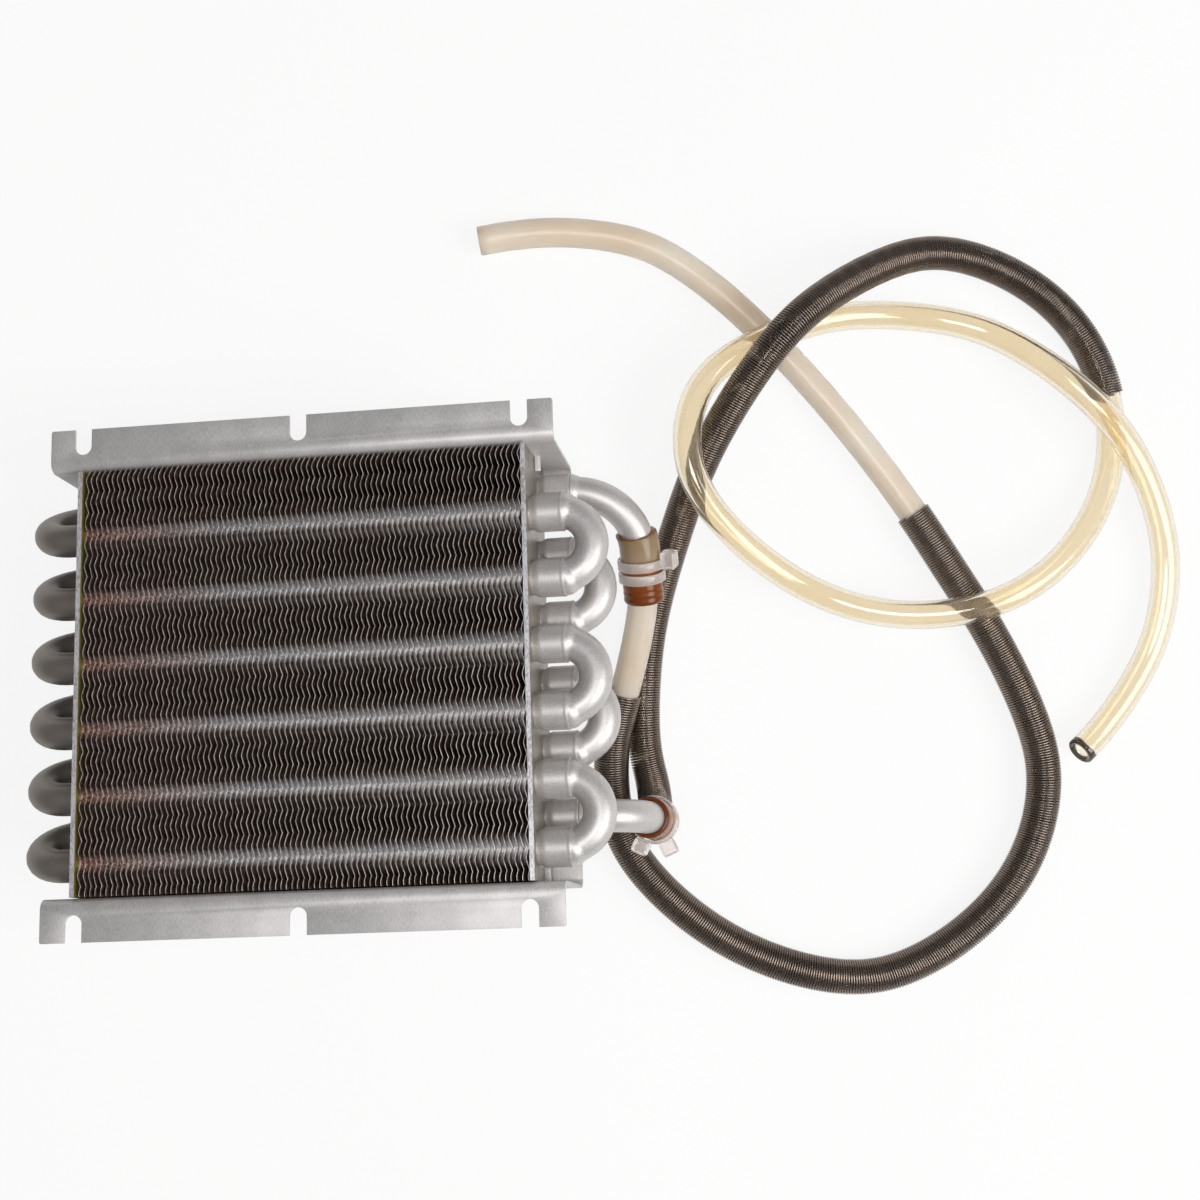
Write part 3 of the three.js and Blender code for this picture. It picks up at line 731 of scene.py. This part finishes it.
def finTree():
    # Fins at an even pitch, each bent a little to one side or the other by a slow noise with a fixed seed.
    tree, given, result = newTree("finStack", [
        ("Count", "NodeSocketInt", 82), ("Pitch", "NodeSocketFloat", 2.1), ("Wobble", "NodeSocketFloat", 0.7),
        ("Seed", "NodeSocketFloat", 3.7), ("Strip", "NodeSocketMaterial", None)])
    spacing = addNode(tree, "ShaderNodeCombineXYZ", None, {"X": given["Pitch"]})
    places = addNode(tree, "GeometryNodeMeshLine", None, {
        "Count": given["Count"], "Offset": spacing.outputs[0]})
    copies = addNode(tree, "GeometryNodeInstanceOnPoints", None, {
        "Points": places.outputs[0], "Instance": given["Geometry"]})
    real = addNode(tree, "GeometryNodeRealizeInstances", None, {0: copies.outputs[0]})
    where = addNode(tree, "GeometryNodeInputPosition")
    stretch = addNode(tree, "ShaderNodeVectorMath", {"operation": "MULTIPLY"}, {
        0: where.outputs[0], 1: fins["bends"]})
    bent = addNode(tree, "ShaderNodeTexNoise", {"noise_dimensions": "4D"}, {
        "Vector": stretch.outputs[0], "W": given["Seed"], "Scale": 1.0, "Detail": 2.0})
    centred = addNode(tree, "ShaderNodeMath", {"operation": "SUBTRACT"}, {0: bent.outputs[0], 1: 0.5})
    aside = addNode(tree, "ShaderNodeMath", {"operation": "MULTIPLY"}, {
        0: centred.outputs[0], 1: given["Wobble"]})
    shift = addNode(tree, "ShaderNodeCombineXYZ", None, {"X": aside.outputs[0]})
    moved = addNode(tree, "GeometryNodeSetPosition", None, {0: real.outputs[0], "Offset": shift.outputs[0]})
    dressed = addNode(tree, "GeometryNodeSetMaterial", None, {
        0: moved.outputs[0], "Material": given["Strip"]})
    tree.links.new(dressed.outputs[0], result)
    return tree


def finStripMesh():
    # One fin on edge: a strip as deep as the core, folded into waves down its height, with a station on each
    # crest, and turned aside at both ends.
    half = exchanger["coreHeight"] / 2 - fins["endGap"]
    step = fins["wave"] / fins["stepsPerWave"]
    first, last = math.ceil((-half - frontY(0)) / step), math.floor((half - frontY(0)) / step)
    heights = [-half, *(frontY(0) + step * k for k in range(first, last + 1)), half]
    front, back = -fins["frontGap"], -exchanger["coreDepth"] + fins["frontGap"]
    vertices, faces = [], []
    for y in heights:
        phase = ((y - frontY(0)) / fins["wave"]) % 1.0
        corner = abs(2 * phase - 1) ** fins["sharpness"]     # 1 at the sharp right-hand crest, 0 at the other
        nearEnd = max(0.0, 1 - (half - abs(y)) / fins["endLength"])
        x = (corner - 0.5) * fins["swing"] + fins["endTurn"] * nearEnd * nearEnd
        for z in (front, back):
            for side in (-0.5, 0.5):
                vertices.append((x + side * fins["thickness"], y, z))
    for k in range(len(heights) - 1):
        a, b = 4 * k, 4 * (k + 1)
        faces += [(a, b, b + 1, a + 1), (a + 2, a + 3, b + 3, b + 2)]
        faces += [(a, a + 2, b + 2, b), (a + 1, b + 1, b + 3, a + 3)]
    end = 4 * (len(heights) - 1)
    faces += [(0, 1, 3, 2), (end, end + 2, end + 3, end + 1)]
    mesh = bpy.data.meshes.new("finStrip")
    mesh.from_pydata(vertices, [], faces)
    return mesh


firstFin = -plateFace + exchanger["plate"] + fins["leftGap"]
finSpan = plateFace - exchanger["plate"] - fins["rightGap"] - firstFin
finPitch = finSpan / (fins["count"] - 1)
stack = runTree("finStack", finTree(), finStripMesh(),
                {"Count": fins["count"], "Pitch": finPitch, "Wobble": fins["wobble"], "Strip": finStrip})
stack.data.transform(placeExchanger @ Matrix.Translation((firstFin, 0, 0)))
finishPiece(stack, ["fin_pack"])
print(f"fin stack: {len(stack.data.polygons)} faces")


# Sleeves and ties.
sleeves = {"radius": 8.1, "bore": 6.95, "mouthBore": 6.45, "overlap": 18.0, "stiffness": 0.7, "flare": 0.1,
           "flareLength": 4.0, "dip": 1.6, "dipLength": 5.0, "dent": 0.45, "dentReach": 2.3, "ripple": 0.18,
           "ripplePitch": 2.6, "rippleFrom": 3.0, "mouthRound": (0.4, 0.9), "endRound": (0.5, 0.8),
           "rings": 60, "boreRings": 12, "sides": 40}
ties = {"width": 4.0, "thickness": 0.9, "inner": 8.5, "edge": 0.25, "head": (6.0, 7.0, 6.4), "headRound": 1.1,
        "sunk": 0.5, "aside": 1.6, "upper": (5.2, 10.4), "lower": (4.0, 9.2), "sides": 48}


def nearness(distance, reach):
    # 1 at an end, falling to 0 at the reach.
    return max(0.0, 1 - distance / reach)


def sleeve(side, material):
    facts, heading = ports[side], portHeading(side)
    run = Run((ports["mouthX"], facts["y"], exchanger["rearRow"]), (1, 0, 0))
    route = run.bend(ports["bendRadius"], heading, 90, 1.0).line(facts["sleeve"] + 1, 0.5).route()
    # The stiff sleeve keeps its rings nearly square to its own axis where it goes over the bend.
    route.tangents = [t.lerp(heading, sleeves["stiffness"]).normalized() for t in route.tangents]
    arc = ports["bendRadius"] * math.pi / 2
    first = arc * (1 - sleeves["overlap"] / 90)
    last = arc + facts["sleeve"]
    outer = []
    for k in range(sleeves["rings"] + 1):
        s = first + (last - first) * k / sleeves["rings"]
        r = sleeves["radius"] + sleeves["flare"] * nearness(s - first, sleeves["flareLength"])
        for centre in ties[side]:
            r -= sleeves["dent"] * math.exp(-(((s - arc - centre) / sleeves["dentReach"]) ** 2))
        if s > arc + ties[side][1] + sleeves["rippleFrom"]:
            r -= sleeves["ripple"] * (0.5 + 0.5 * math.cos((s - arc) * 2 * math.pi / sleeves["ripplePitch"]))
        for distance, (depth, reach) in ((s - first, sleeves["mouthRound"]), (last - s, sleeves["endRound"])):
            r -= depth * nearness(distance, reach) ** 2
        outer.append((s, r))
    rings, mouthBore = sleeves["boreRings"], sleeves["mouthBore"]
    inner = [(last - (last - first) * k / rings, sleeves["bore"]) for k in range(rings)]
    inner += [(first + 1.2, mouthBore), (first + 0.3, mouthBore), (first + 0.05, mouthBore + 0.25)]

    def slide(s, spoke):
        # The upper sleeve's rim dips toward the hose at its front.
        dip = sleeves["dip"] if side == "upper" else 0.0
        return dip * nearness(s - first, sleeves["dipLength"]) ** 2 * max(0.0, spoke.z)

    piece = sweepProfile(f"{side}Sleeve", route, outer + inner, sleeves["sides"], placeExchanger, slide)
    for loop in piece.data.uv_layers["along"].data:
        loop.uv[1] -= first
    finishPiece(piece, [f"{side}_coupling_sleeve"], material)


sleeve("upper", upperSleeveSkin)
sleeve("lower", lowerSleeveSkin)


def tie(side, number, offset, headWay):
    heading = portHeading(side)
    centre = bendEnd(side) + heading * offset
    face = (headWay - heading * headWay.dot(heading)).normalized()
    third = face.cross(heading)
    width, edge, inner, outer = ties["width"], ties["edge"], ties["inner"], ties["inner"] + ties["thickness"]
    profile = [(0, inner), (0, outer - edge), (edge, outer), (width - edge, outer), (width, outer - edge),
               (width, inner)]
    start = centre - heading * width / 2
    line = Route([start, centre, start + heading * width])
    band = sweepProfile(f"{side}Tie{number}", line, profile, ties["sides"])
    tall, wide, long = ties["head"]
    bpy.ops.mesh.primitive_cube_add(size=1)
    head = bpy.context.active_object
    head.data.transform(Matrix.Diagonal((tall, wide, long, 1)))
    axes = Matrix((face, heading, third)).transposed().to_4x4()
    reach = face * (outer + tall / 2 - ties["sunk"]) + heading * ties["aside"] * (1 if number == 2 else -1)
    head.data.transform(Matrix.Translation(centre + reach) @ axes)
    bevel = head.modifiers.new("round", "BEVEL")
    bevel.width, bevel.segments = ties["headRound"], 4
    bpy.ops.object.modifier_apply(modifier="round")
    joinInto(band, head)
    band.data.transform(placeExchanger)
    finishPiece(band, [f"{side}_tie_{number}"], tieNylon)


tie("upper", 1, ties["upper"][0], Vector((1, 0, 0.3)))
tie("upper", 2, ties["upper"][1], Vector((-0.25, 0, -1)))
tie("lower", 1, ties["lower"][0], Vector((-0.5, -1, 0)))
tie("lower", 2, ties["lower"][1], Vector((0.45, -1, 0)))
print("sleeves tied")

# End plates keep their CAD shapes.
for node, sheet in (("left_end_plate", innerLitSheet), ("right_end_plate", galvanisedSheet)):
    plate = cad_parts[node]
    plate.data.materials.clear()
    plate.data.materials.append(sheet)

# Brackets: sheet folded twice, with three open slots in the front flange.
brackets = {"sheet": 1.2, "fold": 4.0, "flange": 16.5, "overhang": 11.1, "proud": 0.5, "rearGap": 1.8,
            "corner": 0.8, "slotWidth": 6.6, "slotDepth": 10.2, "slotInset": 13.1, "edgeBevel": 0.15,
            "lug": (2.2, 6.2, 1.2), "lugDepth": 22.0, "lugSunk": 0.2, "gap": 0.3}


def arcPoints(cx, cy, r, start, end, steps):
    angles = [math.radians(start + (end - start) * k / steps) for k in range(steps + 1)]
    return [(cx + r * math.cos(a), cy + r * math.sin(a)) for a in angles]


def bracket(name, node, turned):
    b = brackets
    t, fold = b["sheet"], b["fold"]
    inner = fold - t
    web = exchanger["coreHeight"] / 2
    front, rear = b["proud"], -exchanger["coreDepth"] - b["rearGap"] - t
    top, foot, half = web + b["flange"], web + t - b["flange"], plateFace + b["overhang"]
    # The section runs from the flange's lower line round the front fold, along the web and down the rear
    # foot, then back along its other face.
    outside = arcPoints(front - fold, web + fold, fold, 0, -90, 10)
    outside += arcPoints(rear + t + inner, web - inner, inner, 90, 180, 8) + [(rear + t, foot)]
    inside = [(rear, foot)] + arcPoints(rear + fold, web + t - fold, fold, 180, 90, 10)
    inside += arcPoints(front - t - inner, web + t + inner, inner, -90, 0, 8)
    section = outside + inside
    n = len(section)
    vertices = [(x, y, z) for x in (-half, half) for z, y in section]
    faces = [(k, k + 1, n + k + 1, n + k) for k in range(n - 1)]
    # The flange's outline goes up one end, round the slots and down the other.
    c, r = b["corner"], b["slotWidth"] / 2
    outline = arcPoints(half - c, top - c, c, 0, 90, 4)
    for x in (half - b["slotInset"], 0.0, -half + b["slotInset"]):
        floor = top - b["slotDepth"] + r
        outline += [(x + r, top)] + arcPoints(x, floor, r, 0, -180, 16) + [(x - r, top)]
    outline += arcPoints(-half + c, top - c, c, 90, 180, 4)
    m, base = len(outline), len(vertices)
    for z in (front, front - t):
        vertices += [(x, y, z) for x, y in outline]
    leftFront, leftBack, rightFront, rightBack = 0, n - 1, n, 2 * n - 1
    rim = [rightFront, *range(base, base + m), leftFront]
    back = [rightBack, *range(base + m, base + 2 * m), leftBack]
    faces += [rim, back[::-1]]
    faces += [(rim[k + 1], rim[k], back[k], back[k + 1]) for k in range(len(rim) - 1)]
    # The section's two ends.
    faces += [list(range(n - 1, -1, -1)), list(range(n, 2 * n))]
    piece = pieceFrom(name, vertices, faces)
    # A small lug hangs from the web beside each end plate.
    wide, tall, thick = b["lug"]
    for side in (-1, 1):
        x = side * (plateFace + b["gap"] + wide / 2)
        spot = Vector((x, web - tall / 2 + b["lugSunk"], -b["lugDepth"]))
        bpy.ops.mesh.primitive_cube_add(size=1)
        lug = bpy.context.active_object
        lug.data.transform(Matrix.Translation(spot) @ Matrix.Diagonal((wide, tall, thick, 1)))
        joinInto(piece, lug)
    bevel = piece.modifiers.new("edges", "BEVEL")
    bevel.width, bevel.segments, bevel.limit_method, bevel.angle_limit = b["edgeBevel"], 2, "ANGLE", 0.9
    bpy.ops.object.modifier_apply(modifier="edges")
    if turned:
        piece.data.transform(Matrix.Rotation(math.pi, 4, "Z"))
    piece.data.transform(placeExchanger)
    bpy.ops.object.shade_smooth_by_angle(angle=0.7)
    finishPiece(piece, [node], zincPlatedSteel)


bracket("upperBracket", "upper_bracket", False)
bracket("lowerBracket", "lower_bracket", True)
print("brackets folded")

# Table, light and background.
studio = {"tableHex": "F6F4F2", "whiteShare": 0.86, "halfWidth": 6.0, "below": 0.0003, "world": 0.2}


def seenRays(tree, *kinds):
    # 1 for rays of these kinds, and 0 for the light that falls on the object.
    rays = addNode(tree, "ShaderNodeLightPath").outputs
    total = 0.0
    for kind in kinds:
        total = addNode(tree, "ShaderNodeMath", {"operation": "ADD"}, {0: rays[kind], 1: total}).outputs[0]
    return addNode(tree, "ShaderNodeMath", {"operation": "MINIMUM"}, {0: total, 1: 1.0}).outputs[0]


half, level = studio["halfWidth"], -studio["below"]
corners = ((-half, -half), (half, -half), (half, half), (-half, half))
table = pieceFrom("table", [(x, y, level) for x, y in corners], [(0, 1, 2, 3)])
tableTop, tree = newMaterial("paleTable")
paper = addNode(tree, "ShaderNodeBsdfDiffuse", None, {"Color": linearColour(studio["tableHex"])})
white = addNode(tree, "ShaderNodeEmission", None, {"Color": (1, 1, 1, 1), "Strength": 1.0})
seen = seenRays(tree, "Is Camera Ray", "Is Glossy Ray", "Is Transmission Ray")
share = addNode(tree, "ShaderNodeMath", {"operation": "MULTIPLY"}, {0: seen, 1: studio["whiteShare"]})
mixed = addNode(tree, "ShaderNodeMixShader", None, {
    0: share.outputs[0], 1: paper.outputs[0], 2: white.outputs[0]})
addNode(tree, "ShaderNodeOutputMaterial", None, {"Surface": mixed.outputs[0]})
table.data.materials.append(tableTop)


def softLight(name, place, target, size, power):
    light = bpy.data.lights.new(name, "AREA")
    light.shape, light.size, light.energy = "SQUARE", size, power
    lamp = bpy.data.objects.new(name, light)
    lamp.location = place
    lamp.rotation_euler = (Vector(target) - Vector(place)).to_track_quat("-Z", "Y").to_euler()
    scene.collection.objects.link(lamp)


# A broad lamp to the right, a small one overhead and a faint even surround.
softLight("keyLight", (1.1, -0.25, 1.05), (0.05, 0, 0), 0.9, 13.9)
softLight("overheadLight", (0.12, -0.02, 1.35), (0.08, 0, 0), 0.45, 5.5)
world = bpy.data.worlds.new("studio")
world.use_nodes = True
tree = world.node_tree
tree.nodes.clear()
beyond = seenRays(tree, "Is Camera Ray", "Is Transmission Ray")
glow = addNode(tree, "ShaderNodeMath", {"operation": "MAXIMUM"}, {0: beyond, 1: studio["world"]})
sky = addNode(tree, "ShaderNodeBackground", None, {"Color": (1, 1, 1, 1), "Strength": glow.outputs[0]})
addNode(tree, "ShaderNodeOutputWorld", None, {"Surface": sky.outputs[0]})
scene.world = world
scene.view_settings.view_transform = "Standard"
print("studio lit")
